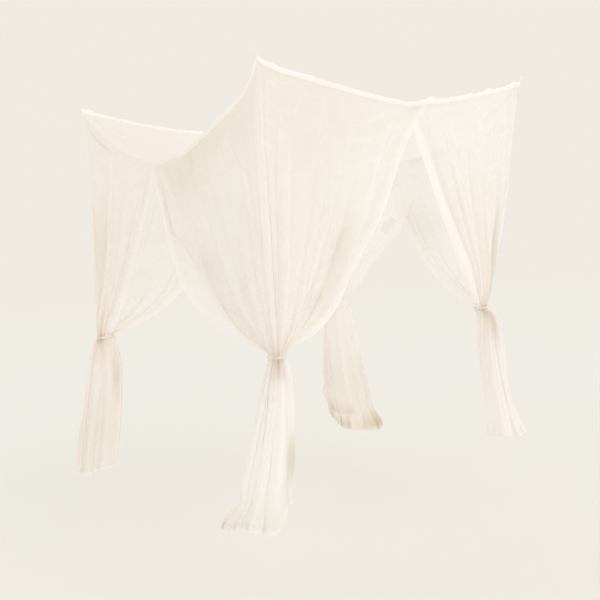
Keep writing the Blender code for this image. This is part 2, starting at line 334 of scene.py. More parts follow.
def within(tree, value, middle, width):
    # 1 where value is within width / 2 of middle
    away = calc(tree, "ABSOLUTE", calc(tree, "SUBTRACT", value, middle))
    return calc(tree, "LESS_THAN", away, width / 2)


def dashes(tree, value, gap):
    share = calc(tree, "FRACT", calc(tree, "DIVIDE", value, gap))
    return calc(tree, "LESS_THAN", share, stitchLength)


# a share of the light comes through the cloth
def litThrough(tree, share, shader, colour, bumped):
    glow = addNode(tree, "ShaderNodeBsdfTranslucent", {"Color": colour, "Normal": bumped})
    return mixShader(tree, share, shader.outputs[0], glow.outputs[0])


# cover: the share that threads hide. side, foot: metres to the cut's edges. white, olive and tan:
# how much of that colour, where white also carries painted highlights, olive is painted shade with
# patches of uneven tone, and tan is painted shade below the ties and towards the foot, with some
# stains
def netMaterial():
    f = netFinish
    made, tree = newMaterial("ivoryNet")
    uv, across, down = clothPlace(tree)
    cover = attribute(tree, "cover")
    # threads that widen with the cover: what is left open is (1 - width) squared
    width = calc(tree, "SUBTRACT", 1.0, calc(tree, "SQRT", calc(tree, "SUBTRACT", 1.0, cover)))
    threads = [
        calc(tree, "LESS_THAN", calc(tree, "FRACT", calc(tree, "DIVIDE", way, f["mesh"])), width)
        for way in (across, down)
    ]
    side, foot = attribute(tree, "side"), attribute(tree, "foot")
    rows = [
        calc(tree, "MULTIPLY", within(tree, edge, f[hem] - f["sewnInside"], f["sewnWide"]),
             dashes(tree, way, f["stitch"]))
        for edge, hem, way in ((side, "sideHem", down), (foot, "footHem", across))
    ]
    sewn = calc(tree, "MAXIMUM", *rows)
    solid = calc(tree, "MAXIMUM", calc(tree, "MAXIMUM", *threads), sewn)

    patches = addNode(tree, "ShaderNodeTexNoise", {
        "Vector": uv, "Scale": f["patches"], "Detail": 3.0,
    })
    colour = mixColour(tree, patches.outputs["Fac"], f["thin"], f["cream"])
    for shade in ("whiteAndHighlight", "oliveShadeAndTone", "tanShadeAndStain"):
        colour = mixColour(tree, attribute(tree, shade), colour, f[shade])

    crinkles = f["crinkles"]
    stretch = addNode(tree, "ShaderNodeMapping", {
        "Vector": uv, "Scale": (crinkles["across"], crinkles["down"], 1.0),
    })
    crinkle = addNode(tree, "ShaderNodeTexNoise", {
        "Vector": stretch.outputs[0], "Scale": 1.0, "Detail": 4.0, "Roughness": 0.6,
        "Distortion": 0.8,
    })
    bumped = addNode(tree, "ShaderNodeBump", {
        "Strength": crinkles["strength"], "Distance": crinkles["high"],
        "Height": crinkle.outputs["Fac"],
    }).outputs[0]
    thread = addNode(tree, "ShaderNodeBsdfPrincipled", {
        "Base Color": colour, "Roughness": f["rough"], "Sheen Weight": f["sheen"],
        "Sheen Roughness": f["sheenRough"], "Normal": bumped,
    })
    cloth = litThrough(tree, f["translucent"], thread, colour, bumped)
    finishMaterial(tree, mixShader(tree, solid, seeThrough(tree), cloth))
    return made


# the tape's length runs in the first way of its map, with one sewn row along it
def tapeMaterial():
    f = tapeFinish
    made, tree = newMaterial("bindingTape")
    uv, length, across = clothPlace(tree)
    rib = calc(tree, "SINE", calc(tree, "MULTIPLY", length, 2 * math.pi / f["rib"]))
    fuzz = addNode(tree, "ShaderNodeTexNoise", {"Vector": uv, "Scale": f["fuzz"], "Detail": 3.0})
    sewn = calc(tree, "MULTIPLY", within(tree, across, headerLook["stitchAt"], f["sewnWide"]),
                dashes(tree, length, f["stitch"]))
    height = calc(tree, "ADD", calc(tree, "MULTIPLY", rib, 0.5), fuzz.outputs["Fac"])
    height = calc(tree, "SUBTRACT", height, sewn)
    bumped = addNode(tree, "ShaderNodeBump", {
        "Strength": f["strength"], "Distance": f["high"], "Height": height,
    }).outputs[0]
    dull = tuple(c * f["dull"] for c in f["colour"])
    shade = calc(tree, "ADD", calc(tree, "MULTIPLY", fuzz.outputs["Fac"], 0.4),
                 calc(tree, "MULTIPLY", sewn, 0.5))
    colour = mixColour(tree, shade, f["colour"], dull)
    woven = addNode(tree, "ShaderNodeBsdfPrincipled", {
        "Base Color": colour, "Roughness": f["rough"], "Sheen Weight": f["sheen"],
        "Normal": bumped,
    })
    finishMaterial(tree, litThrough(tree, f["translucent"], woven, colour, bumped))
    return made


def floorMaterial(added):
    # as bright, where the lights reach it, as the wall behind
    made, tree = newMaterial("paleFloor")
    lit = [(air + added) * share for air, share in zip(studio["air"], studio["floorLit"])]
    colour = [c / part for c, part in zip(studio["backdrop"], lit)]
    shader = addNode(tree, "ShaderNodeBsdfDiffuse", {"Color": (*colour, 1)})
    spot = addNode(tree, "ShaderNodeTexCoord").outputs["Object"]
    middle = (*studio["floorMiddle"], cadBox[0].z)
    away = addNode(tree, "ShaderNodeVectorMath", {0: spot, 1: middle},
                   operation="DISTANCE").outputs["Value"]
    near, far = studio["floorFade"]
    fade = addNode(tree, "ShaderNodeMapRange", {
        "Value": away, "From Min": near, "From Max": far,
    }, interpolation_type="SMOOTHSTEP")
    fading = mixShader(tree, fade.outputs["Result"], shader.outputs[0], seeThrough(tree))
    finishMaterial(tree, fading)
    return made


seams = {
    "loopReach": 0.030,  # corner of the cloth to the hook
    "curtainInside": 0.0022,  # outer curtain, inside the sewing line
    "curtainBelow": 0.007,
    "layerGap": 0.006,  # an inner curtain is this much further in and lower
    "layerSpread": 0.07,
    "cornerRound": 0.02,
    "edgeBow": 0.01,  # the middle of a roof edge is drawn in
    "edgeDip": 0.045,  # a free edge droops just before its tie
    "roofSlack": 0.9,  # share of the edges' sag that the middle of the roof follows
    "roofCrease": 0.010,
    "neckWrap": 162.0,  # degrees that each half reaches round its tie
    "neckHalfHeight": 0.016,
    "neckShare": 0.04,  # of q, for the neck under the tie
    # shares of a half curtain: where its lower edge starts to rise, and over how much
    "liftFrom": 0.18,
    "liftOver": 0.35,
    # beside the front corner the edges slump over the first, and recover over the second
    "slumpOver": 0.045,
    "slumpReach": 0.30,
    "slumpRoof": 0.16,
    "slumpBelow": 0.012,
}
# knot and hem are measured from the corner of the cloth; neck and leg are half widths
corners = {
    "front": {
        "knot": (0.132, 0.133, -1.485), "hem": (0.012, 0.212, -2.345),
        "neck": (0.042, 0.046), "leg": (0.122, 0.150), "flare": 0.75, "swing": 1.5,
        "kick": 0.024, "post": 0.9, "shoulder": 0.0, "shift": 0.4,
    },
    "right": {
        "knot": (-0.13, 0.268, -1.440), "hem": (-0.08, 0.12, -2.300),
        "neck": (0.034, 0.046), "leg": (0.094, 0.105), "flare": 0.28, "swing": 1.5,
        "kick": 0.006, "post": 0.6, "shoulder": 0.044, "shift": 1.9,
    },
    "rear": {
        "knot": (-0.05, -0.13, -1.390), "hem": (-0.050, -0.260, -2.480),
        "neck": (0.055, 0.065), "leg": (0.135, 0.185), "flare": 0.45, "swing": 1.6,
        "kick": 0.010, "post": 0.7, "shoulder": 0.0, "shift": 3.1,
    },
    "left": {
        "knot": (0.019, -0.067, -1.475), "hem": (-0.09, -0.04, -2.370),
        "neck": (0.050, 0.050), "leg": (0.123, 0.122), "flare": 0.28, "swing": 1.4,
        "kick": 0.006, "post": 1.1, "shoulder": 0.0, "shift": 4.6,
    },
}
# half curtains, from a corner towards the next one. layer: 0 outside, 1 inside where two overlap.
halfColumns = "reach", "layer", "straight", "belly", "lift"
halves = {pair: dict(zip(halfColumns, row)) for pair, row in {
    ("front", "left"): (1.064, 0, 0.30, 6.0, 0.00),
    ("front", "right"): (1.060, 0, 0.40, 5.0, 0.13),
    ("right", "front"): (1.052, 1, 1.00, 3.0, 0.04),
    ("right", "rear"): (1.200, 0, 0.45, 4.0, 0.03),
    ("rear", "right"): (1.050, 1, 0.10, 2.2, 0.04),
    ("rear", "left"): (1.060, 0, 0.50, 4.0, 0.17),
    ("left", "rear"): (1.055, 1, 0.40, 7.0, 0.03),
    ("left", "front"): (0.850, 1, 0.90, 2.0, 0.05),
}.items()}
# roof edges: sag in the middle, how straight the two runs are, and the drop beside the corner
edges = {
    ("front", "right"): {"sag": 0.175, "taut": 0.5, "slump": 0.022},
    ("right", "rear"): {"sag": 0.380, "taut": 0.1, "slump": 0.0},
    ("rear", "left"): {"sag": 0.112, "taut": 0.0, "slump": 0.0},
    ("left", "front"): {"sag": 0.420, "taut": 0.2, "slump": 0.078},
}
names = list(corners)
hooks = {m["name"].split("_")[1]: m for m in frame["record"]["mounts"]}
cornerAt = {
    name: np.array(hooks[name]["pos_m"]) - seams["loopReach"] * np.array(hooks[name]["axis"])
    for name in names
}


def neighbours(name):
    at = names.index(name)
    return names[at - 1], names[(at + 1) % len(names)]


def along(name, towards):
    step = cornerAt[towards] - cornerAt[name]
    return unit(step * (1, 1, 0))


def sideLength(a, b):
    step = cornerAt[b] - cornerAt[a]
    return math.hypot(step[0], step[1])


longSide, shortSide = sideLength("front", "right"), sideLength("front", "left")


def edgeOf(a, b):
    return edges.get((a, b)) or edges[(b, a)]


def slumpOf(a, b, share):
    away = sideLength(a, b) * (share if a == "front" else 1 - share)
    return edgeOf(a, b)["slump"] * (1 - np.exp(-away / seams["slumpOver"])) * bump(
        away, seams["slumpReach"])


def dropOf(a, b, share):
    edge = edgeOf(a, b)
    bent = 1 - np.abs(2 * share - 1)
    sag = edge["sag"] * ((1 - edge["taut"]) * hang(share) + edge["taut"] * bent)
    return sag + slumpOf(a, b, share)


def edgePoint(a, b, distance, inside=0.0):
    share = np.asarray(distance) / sideLength(a, b)
    point = lerp(cornerAt[a], cornerAt[b], share)
    point[..., 2] -= dropOf(a, b, share)
    before, after = neighbours(a)
    inward = along(a, after if b == before else before)
    return point + inward * (seams["edgeBow"] * hang(share) + inside)[..., None]


# p and q: shares of the long side and of the short side, from the front corner
def roofPoint(p, q):
    flat = lerp(lerp(cornerAt["front"], cornerAt["right"], p),
                lerp(cornerAt["left"], cornerAt["rear"], p), q)
    point = lerp(edgePoint("front", "right", p * longSide),
                 edgePoint("left", "rear", p * longSide), q)
    point += lerp(edgePoint("front", "left", q * shortSide),
                  edgePoint("right", "rear", q * shortSide), p) - flat
    slumps = slumpOf("front", "left", q), slumpOf("front", "right", p)
    for slump, share, off in zip(slumps, (p, q), (p * longSide, q * shortSide)):
        point[..., 2] += slump * (1 - share - bump(off, seams["slumpRoof"]))
    middle = hang(p) * hang(q)
    point[..., 2] += (1 - seams["roofSlack"]) * (flat[..., 2] - point[..., 2]) * middle
    point[..., 2] += seams["roofCrease"] * np.sin(9.0 * p + 2.1) * np.sin(8.0 * q + 0.7) * middle
    return point


# One corner's curtain before its fine folds. t is metres along the roof edge from the corner.
# q is 0 at the roof edge, 1 at the tie and 2 at the hem.
class Hanging:
    def __init__(self, name):
        self.name = name
        self.shape = corners[name]
        self.before, self.after = neighbours(name)
        self.sides = halves[(name, self.before)], halves[(name, self.after)]
        self.toBefore = along(name, self.before)
        self.toAfter = along(name, self.after)
        self.outward = -unit(self.toBefore + self.toAfter)
        self.across = unit(self.toAfter - self.toBefore)
        self.top = cornerAt[name]
        self.knot = self.top + np.array(self.shape["knot"])
        self.hem = self.top + np.array(self.shape["hem"])
        self.reachBefore = self.sides[0]["reach"]
        self.width = self.reachBefore + self.sides[1]["reach"]

    def half(self, t, key):
        return np.where(t < 0, self.sides[0][key], self.sides[1][key])

    def toEdge(self, t):
        # 0 at the corner, 1 at the free edge
        return np.abs(t) / self.half(t, "reach")

    def topPoint(self, t):
        bend = np.hypot(t, seams["cornerRound"])
        after, before = (t + bend) / 2, (bend - t) / 2
        inside = seams["curtainInside"] + (
            self.half(t, "layer") * seams["layerGap"] * softStep(np.abs(t) / 0.4))
        shareAfter = after / sideLength(self.name, self.after)
        shareBefore = before / sideLength(self.name, self.before)
        level = np.where(t > 0, cornerAt[self.after][2], cornerAt[self.before][2]) - self.top[2]
        bow = seams["edgeBow"]
        point = (self.top + self.toAfter * (after + inside + bow * hang(shareBefore))[..., None]
                 + self.toBefore * (before + inside + bow * hang(shareAfter))[..., None])
        point[..., 2] += level * np.maximum(shareAfter, shareBefore)
        point[..., 2] -= dropOf(self.name, self.after, shareAfter)
        point[..., 2] -= dropOf(self.name, self.before, shareBefore)
        point[..., 2] -= seams["curtainBelow"] + inside - seams["curtainInside"]
        if self.name == "front":
            point[..., 2] -= seams["slumpBelow"] * bump(t, seams["slumpReach"])
        turned = (after / (after + before))[..., None]
        return point, -unit(self.toBefore * turned + self.toAfter * (1 - turned))

    def ringPoint(self, t, middle, sizes):
        angle = t / self.half(t, "reach") * math.radians(seams["neckWrap"])
        arm = (self.outward * (sizes[0] * np.cos(angle))[..., None]
               + self.across * (sizes[1] * np.sin(angle))[..., None])
        return middle + arm, unit(arm)

    def above(self, t, s):
        start, outTop = self.topPoint(t)
        end, outRing = self.ringPoint(
            t, self.knot + (0, 0, seams["neckHalfHeight"]), self.shape["neck"])
        edge = self.toEdge(t) ** 1.5
        post = self.shape["post"]
        straight = post + (self.half(t, "straight") - post) * edge
        pull = straight * s + (1 - straight) * s ** self.half(t, "belly")
        point = lerp(start, end, pull)
        point[..., 2] = (start[..., 2] + (end[..., 2] - start[..., 2]) * s
                         - seams["edgeDip"] * edge * hang(s**4))
        spread = self.half(t, "layer") * seams["layerSpread"] * s * (1 - s)
        return point - outTop * spread[..., None], unit(lerp(outTop, outRing, pull))

    def legSizes(self, s):
        shape = self.shape
        kick = shape["kick"] * softStep((s - 0.8) / 0.2)
        return [n + (w - n) * s ** shape["flare"] + kick
                for n, w in zip(shape["neck"], shape["leg"])]

    def leg(self, t, s):
        shape = self.shape
        low = self.knot - (0, 0, seams["neckHalfHeight"])
        middle = lerp(low, self.hem, s ** shape["swing"])
        middle[..., 2] = low[2] + (self.hem[2] - low[2]) * s
        middle += self.outward * (shape["shoulder"] * (1 - np.exp(-s / 0.03)) * (1 - s))[..., None]
        point, outward = self.ringPoint(t, middle, self.legSizes(s))
        rise = softStep((self.toEdge(t) - seams["liftFrom"]) / seams["liftOver"])
        point[..., 2] += self.half(t, "lift") * rise * s
        return point, outward

    def base(self, t, q):
        upper, outUpper = self.above(t, np.clip(q, 0, 1))
        neck = seams["neckShare"]
        lower, outLower = self.leg(t, np.clip((q - (1 + neck)) / (1 - neck), 0, 1))
        f = np.clip((q - 1) / neck, 0, 1)
        return lerp(upper, lower, f), unit(lerp(outUpper, outLower, f))


curtainLook = {
    "columns": 384,
    "rowsAbove": 150,
    "rowsLeg": 90,
    "clear": 0.30,  # share of light that one flat layer lets straight through
    "cutLength": 2.30,  # from the header to the fold of the foot's hem
    "legLength": 0.9,
    "hemColumns": 7,
    "hemRows": 6,
    "hemGap": 0.0014,
    "footWaver": 0.006,
    "ripple": 0.003,  # of bunched net
    # at: where down the curtain, with the value there
    "mainFolds": {"count": 7, "at": (0, .09, .24, .42, .6, .76, .88, .96, 1, 1.05, 1.2, 1.42,
                                      1.68, 1.9, 2),
                  "value": (0, .004, .010, .016, .021, .024, .022, .012, .003, .006, .010, .012,
                            .013, .015, .018)},
    # tucks take in the cloth that the tie leaves over; near 1 the cloth between them is broad
    "tuckRound": {"at": (0, .4, .8, 1, 1.15, 2), "value": (.25, .5, .75, .85, .93, .93)},
    # how narrow the slit of a tuck is, and how far it leans over
    "tuckSharp": {"at": (0, .9, 1.15, 2), "value": (2, 2, 4.5, 5)},
    "tuckLean": {"at": (0, .9, 1.15, 2), "value": (.35, .35, .10, .05)},
    # in the leg the tucks lie over sideways, this many degrees from straight in
    "tuckSlide": {"at": (0, .97, 1.12, 2), "value": (0, 0, 58, 60)},
    # the two free edges of a leg pass each other
    "overlap": {"at": (0, .95, 1.05, 2), "value": (0, 0, .14, .14)},
    "lapGap": 0.005,
    "lapFull": 0.05,  # the overlap at which that gap is whole
    "lapped": (0.75, 0.2),  # from this share of a half curtain, and over how much of it
    "edgePower": 4,  # a moved edge draws the cloth beside it along this steeply
    "tuckSway": (0.010, 0.006),
    "uneven": (0.85, 0.35),  # how deep the tucks are, and how much that differs
    "valley": (6, 0.02),  # how narrow the bottom of a tuck is, and how deep a full one is
    "tuckDeepest": {"at": (0, .3, .6, .85, .97, 1.03, 1.2, 2),
                    "value": (.012, .022, .034, .036, .026, .028, .054, .068)},
    "pleats": {"count": 46, "at": (0, .3, .6, .85, .97, 1.03, 1.12, 1.4, 2),
               "value": (0, .0004, .0012, .0020, .0014, .0014, .0014, .0006, .0003)},
    "gathers": {"count": 95, "at": (0, .02, .06, .14, .3, 2),
                "value": (.0002, .0011, .0010, .0004, 0, 0)},
    "ribSway": 0.006,
    "ribFade": (0.08, 0.15),  # q over which a rib or crease starts, and ends
    "crinkleDown": 1.5,  # metres of cloth for one q, about
    "crinkleWide": 0.075,  # share of the gap between lines
    # criss-cross crinkles: turned by degrees, gap between lines, height
    "crinkles": ((62, 0.085, .0016), (118, 0.097, .0015), (38, 0.13, .0013), (146, 0.11, .0014),
                 (85, 0.074, .0012)),
    "flatHem": 0.062,  # the cloth beside a free edge that the tucks leave flat
    "flatMost": 0.36,  # the most of the plain shape that it may take up
}
curtainShades = {
    # how high a rib, a crinkle and a crease are where their colour is full: the painted highlight
    # of ribs and crinkles, and the painted shade of creases
    "fullRib": 0.010,
    "fullCrinkle": 0.004,
    "fullCrease": 0.006,
    "ribCover": 0.35,
    # painted highlight along the ribs and crinkles
    "ribHighlight": 0.8,
    # painted shade along each crease
    "creaseShade": 0.22,
    "valleyShade": 0.08,  # painted shade at the bottom of a tuck
    "patchOlive": 0.07,
    "neckPale": 0.40,  # the gathered cloth above a tie looks this much whiter
    "bandCover": 0.25,
    "sideRim": 0.013,
    "footRim": 0.012,
    "edgeCover": 0.97,  # at a rim and in bunched net
    "mostCover": 0.96,
}
unmoved = {"at": (0, 2), "value": (0, 0)}
# what is each curtain's own: t in metres from the corner, q down the curtain
# olive: painted shade over all. pale: painted light, how much whiter the cloth is painted above the
# tie and in the leg, so that lit curtains and legs look brighter than shaded ones.
# fuller: how far the leg stands out past its plain shape. tucks: where each runs.
# bands: how white the cloth beside each free edge is, and how wide.
# ribs and creases: points of a line, then its half width and height.
# stains: patches of painted shade (olive, tan), painted highlight (white) and stains: t, q, half
# width, half height, colour and how much of it.
# edgesMoved: how far each free edge passes the solid's, for t < 0 and for t > 0.
# lobes of the foot: t, q, half width, half height, how far out and down.
curtainsOwn = {
    "front": {
        "oliveShadeAndTone": .06,
        "paintedLight": (0, 1),
        "fuller": .006,
        "tucks": (
            -.92, -.79, -.67, -.54, -.38, -.26, -.16, -.06, .03, .13, .25, .42, .54, .65, .77, .91,
        ),
        "bands": ((.9, .045), (.5, .035)),
        "edgesMoved": (
            unmoved,
            {"at": (0, .07, .13, .2, .33, .48, .58, .7, .8, 1),
             "value": (.17, .1, .065, .03, 0, -.03, -.08, -.12, -.08, 0)},
        ),
        "ribs": (
            (((0, .02), (0, .72)), .012, .01), (((-.03, .02), (-.05, .95)), .009, .007),
            (((.05, .03), (.06, .95)), .008, .007), (((.2, .25), (.21, .95)), .012, .007),
            (((-.42, .08), (-.34, .35), (-.38, .62)), .01, .008),
            (((-.33, .05), (-.16, .3), (-.15, .6)), .01, .008),
            (((.45, .04), (.4, .65)), .01, .009), (((.66, .18), (.56, .85)), .01, .008),
            (((.9, .06), (.86, .86)), .014, .013), (((-.99, .02), (-.91, .4)), .012, .008),
            (((-.7, .2), (-.67, .52)), .01, .008), (((.97, .1), (.93, .8)), .01, .007),
            (((.14, .11), (.12, .54)), .01, .007), (((-.6, .54), (-.49, .88)), .01, .008),
            (((.26, .27), (.19, .9)), .01, .007),
        ),
        "creases": (
            (((-1.02, .12), (-1.02, .37), (-.9, .57), (-.78, .75), (-.51, .92)), .014, .006),
            (((.72, .62), (.5, .9)), .014, .006), (((.066, .55), (0, .96)), .01, .006),
        ),
        "shadeHighlightAndStains": (
            (-.8, .1, .2, .14, "oliveShadeAndTone", .42), (-.52, .04, .22, .09, "oliveShadeAndTone", .36),
            (-.22, .08, .16, .12, "oliveShadeAndTone", .18), (.85, .2, .25, .35, "whiteAndHighlight", .55),
            (-.75, .3, .3, .25, "oliveShadeAndTone", .14), (-.78, .56, .12, .12, "oliveShadeAndTone", .42),
            (-.45, .7, .12, .15, "oliveShadeAndTone", .22), (.78, .64, .06, .16, "oliveShadeAndTone", .42),
            (.06, 1.05, .28, .04, "tanShadeAndStain", .42), (.1, 1.12, .24, .04, "tanShadeAndStain", .2),
            (.46, 1.68, .1, .15, "oliveShadeAndTone", .7), (-.37, 1.94, .16, .06, "tanShadeAndStain", .25),
            (.45, .25, .45, .4, "oliveShadeAndTone", .08), (.05, 1.95, .7, .12, "oliveShadeAndTone", .2),
            (-.97, .8, .11, .22, "whiteAndHighlight", .5), (-.74, .76, .1, .18, "oliveShadeAndTone", .34),
            (-.66, .88, .08, .06, "tanShadeAndStain", .22), (.76, .6, .07, .09, "tanShadeAndStain", .26),
            (.74, .8, .07, .08, "tanShadeAndStain", .34), (.92, .84, .08, .12, "whiteAndHighlight", .35),
        ),
        "lobes": (
            (-.5, 1.965, .24, .05, .034, .01), (-.5, 1.86, .26, .055, -.034, 0),
            (-.1, 2, .1, .1, 0, -.014), (.12, 2, .08, .1, 0, .014), (.3, 2, .07, .08, 0, .026),
            (.43, 2, .06, .08, 0, -.012), (.62, 2, .12, .1, 0, .022),
            (.59, 1.2, .25, .17, -.023, 0), (.59, 1.74, .25, .16, .014, 0),
        ),
    },
    "right": {
        "oliveShadeAndTone": 0,
        "paintedLight": (.15, .88),
        "fuller": .006,
        "tucks": (
            -.92, -.78, -.65, -.52, -.4, -.27, -.16, -.05, .07, .2, .34, .48, .63, .78, .93, 1.07,
        ),
        "bands": ((.95, .05), (.4, .03)),
        "edgesMoved": (unmoved, unmoved),
        "ribs": (
            (((-.76, .1), (-.67, .76)), .012, .011), (((-.61, .12), (-.67, .5)), .01, .01),
            (((-.4, .14), (-.42, .6)), .012, .011), (((-.24, .1), (-.26, .4)), .01, .01),
            (((-.13, .04), (-.12, .45)), .008, .007), (((.02, .01), (.02, .95)), .02, .01),
        ),
        "creases": ((((-.13, .5), (-.18, .92)), .016, .008),),
        "shadeHighlightAndStains": (
            (-.78, 1.06, .15, .05, "tanShadeAndStain", .4), (-.5, 1.16, .16, .1, "tanShadeAndStain", .45),
            (-.6, .15, .5, .22, "whiteAndHighlight", .3), (-.62, .2, .09, .022, "whiteAndHighlight", .7),
            (-.48, .17, .09, .022, "whiteAndHighlight", .7), (-.36, .14, .08, .022, "whiteAndHighlight", .7),
            (-.14, .75, .05, .2, "oliveShadeAndTone", .45), (1.05, .45, .2, .15, "oliveShadeAndTone", .3),
            (-.55, 1.04, .3, .05, "oliveShadeAndTone", .4), (.75, .45, .5, .45, "whiteAndHighlight", .5),
        ),
        "lobes": (
            (-1, 1.94, .25, .16, .034, 0), (0, 1.66, .3, .22, -.034, 0), (0, 2, .35, .12, 0, -.042),
            (-.5, 2, .14, .1, 0, .012), (-1.05, 2, .25, .12, 0, .03), (1.15, 2, .3, .12, 0, .02),
        ),
    },
    "rear": {
        "oliveShadeAndTone": 0,
        "paintedLight": (1, .75),
        "fuller": .008,
        "tucks": (-.9, -.76, -.62, -.49, -.36, -.24, -.12, 0, .12, .24, .37, .5, .64, .78, .91),
        "bands": ((.8, .05), (.4, .03)),
        "edgesMoved": (
            {"at": (0, .5, .62, .72, .84, 1), "value": (0, 0, -.07, -.14, -.08, 0)},
            unmoved,
        ),
        "ribs": (
            (((0, .02), (0, .8)), .012, .008), (((-.55, .1), (-.5, .8)), .012, .008),
            (((.6, .1), (.52, .8)), .012, .008),
        ),
        "creases": (),
        "shadeHighlightAndStains": (
            (-.7, 1.93, .26, .07, "tanShadeAndStain", .6), (-.2, 1.95, .6, .05, "tanShadeAndStain", .4),
            (.75, 1.95, .5, .06, "tanShadeAndStain", .3), (-.8, 1.68, .5, .24, "oliveShadeAndTone", .2),
            (.8, 1.68, .5, .24, "oliveShadeAndTone", .2), (0, 1.74, 1.2, .36, "oliveShadeAndTone", .05),
            (0, 1.94, 1.2, .1, "tanShadeAndStain", .07),
        ),
        "lobes": (
            (-.66, 1.97, .2, .06, .026, -.01), (-.6, 1.85, .2, .08, -.012, 0),
            (0, 2, .12, .1, 0, .014), (.3, 2, .1, .1, 0, -.012), (.64, 1.66, .24, .16, .02, 0),
            (.64, 1.82, .24, .07, .03, 0), (.66, 2, .22, .05, -.01, -.02),
            (-.6, 1.45, .25, .3, -.024, 0),
        ),
        # a worn hole, with the net bunched white round it and along the edge below
        "worn": {
            "hole": (-.905, .45, .098, .062),
            "bunched": ((-.98, .345), (-.97, .46), (-.95, .585), (-.92, .85)),
            "wide": .14,
            "ring": 1.9,  # how far the net is bunched round the hole, for a hole of 1
        },
    },
    "left": {
        "oliveShadeAndTone": .05,
        "paintedLight": (0, .7),
        "fuller": .018,
        "tucks": (-.91, -.77, -.63, -.5, -.38, -.26, -.14, -.03, .09, .19, .29, .4, .51, .62, .72),
        "bands": ((.3, .03), (.5, .035)),
        "edgesMoved": (unmoved, unmoved),
        "ribs": (
            (((.185, .14), (.185, .68)), .012, .01), (((.357, .08), (.41, .66)), .012, .011),
            (((.68, .12), (.75, .42), (.65, .65), (.53, .88)), .01, .01),
            (((-.67, .1), (-.58, .8)), .012, .009), (((0, .01), (0, .95)), .02, .01),
        ),
        "creases": ((((.27, .25), (.29, .75)), .016, .006),),
        "shadeHighlightAndStains": (
            (.5, 1.03, .18, .045, "tanShadeAndStain", .65), (.52, 1.12, .16, .07, "tanShadeAndStain", .22),
            (.23, .52, .07, .2, "oliveShadeAndTone", .3), (.82, 1.3, .08, .16, "oliveShadeAndTone", .55),
            (.5, 1.75, .6, .35, "oliveShadeAndTone", .24), (.2, .048, .12, .008, "oliveShadeAndTone", .9),
            (-.5, .6, .3, .3, "oliveShadeAndTone", .1),
        ),
        "lobes": (
            (.44, 2, .14, .08, 0, .026), (.06, 2, .2, .06, -.01, -.034), (.62, 2, .2, .1, 0, -.006),
            (.02, 1.74, .25, .14, .02, 0), (-1.05, 2, .25, .2, -.006, -.034),
        ),
    },
}


def table(entry, q):
    return np.interp(q, entry["at"], entry["value"])


# where the cloth lies on the plain shape: the hem beside a free edge keeps its full width
def besideEdge(hanging, t, narrowed):
    flat = curtainLook["flatHem"]
    reach = hanging.half(t, "reach")
    inset = reach - np.abs(t)
    wide = np.minimum(flat / np.maximum(narrowed, 0.05), curtainLook["flatMost"] * reach)
    wide = np.maximum(wide, flat)
    moved = np.where(inset < flat, inset * wide / flat,
                     wide + (inset - flat) * (reach - wide) / (reach - flat))
    return np.sign(t) * (reach - moved)


# the plain shape with its tucks: points, outward directions, and 1 at the bottom of a tuck
def tucked(hanging, t, q):
    look, own, seed = curtainLook, curtainsOwn[hanging.name], hanging.shape["shift"]
    places = np.array(own["tucks"])
    ends = -hanging.reachBefore, hanging.width - hanging.reachBefore
    marks = np.array([ends[0], *places, ends[1]])
    counts = np.array([-0.5, *range(len(places)), len(places) - 0.5])
    inset = hanging.half(t, "reach") - np.abs(t)
    broad, fine = look["tuckSway"]
    sway = softStep(inset / 0.2) * (broad * np.sin(3.1 * q + 7 * t + seed)
                                    + fine * np.sin(7.3 * q - 11 * t)) * softStep(q / 0.3)
    index = np.interp(t + sway, marks, counts)
    phase = 2 * math.pi * index
    gap = np.interp(index, counts[1:-1], np.gradient(places))
    shifted = np.interp(index - table(look["tuckRound"], q) / (2 * math.pi) * np.sin(phase),
                        counts, marks) - sway
    narrowed = edgeWidth(hanging, t, q)
    spot = besideEdge(hanging, shifted, narrowed) * (1 + table(look["overlap"], q))
    moved = np.where(t < 0, *(table(entry, q) for entry in own["edgesMoved"]))
    spot += np.sign(t) * moved * hanging.toEdge(t) ** look["edgePower"]
    point, outward = hanging.base(spot, q)
    step = 0.004
    width = np.linalg.norm(hanging.base(spot + step, q)[0] - point, axis=-1) / step
    nearest = np.round(index)
    mean, differs = look["uneven"]
    uneven = mean + differs * np.sin(2.4 * nearest + seed) * np.sin(5 * nearest + seed)
    deep = 0.5 * gap * np.clip(1 - width, 0, 1) * uneven
    deepest = table(look["tuckDeepest"], q)
    deep = deepest * np.tanh(deep / deepest)
    taken = deep * ((1 + np.cos(phase)) / 2) ** table(look["tuckSharp"], q)
    slide = np.radians(table(look["tuckSlide"], q))
    lean = table(look["tuckLean"], q) * taken * np.sin(3.7 * nearest + seed)
    lean, taken = lean + taken * np.sin(slide), taken * np.cos(slide)
    lapFrom, lapOver = look["lapped"]
    lapped = np.sign(t) * softStep((hanging.toEdge(t) - lapFrom) / lapOver)
    lapping = np.clip(table(look["overlap"], q) / look["lapFull"], 0, 1)
    taken = taken + look["lapGap"] * lapped * lapping
    aside = unit(np.cross(outward, (0.0, 0.0, 1.0)))
    narrow, full = look["valley"]
    valley = ((1 + np.cos(phase)) / 2) ** narrow * np.clip(deep / full, 0, 1)
    return point - outward * taken[..., None] + aside * lean[..., None], outward, valley


# how wide the plain shape is beside each free edge, for a metre of cloth
def edgeWidth(hanging, t, q):
    heights = np.linspace(0, 2, 81)
    found = []
    for side, reach in ((-1, hanging.sides[0]["reach"]), (1, hanging.sides[1]["reach"])):
        near, far = (hanging.base(np.full_like(heights, side * (reach - d)), heights)[0]
                     for d in (0.05, 0.15))
        found.append(np.interp(q, heights, np.linalg.norm(near - far, axis=-1) / 0.10))
    return np.where(t < 0, *found)


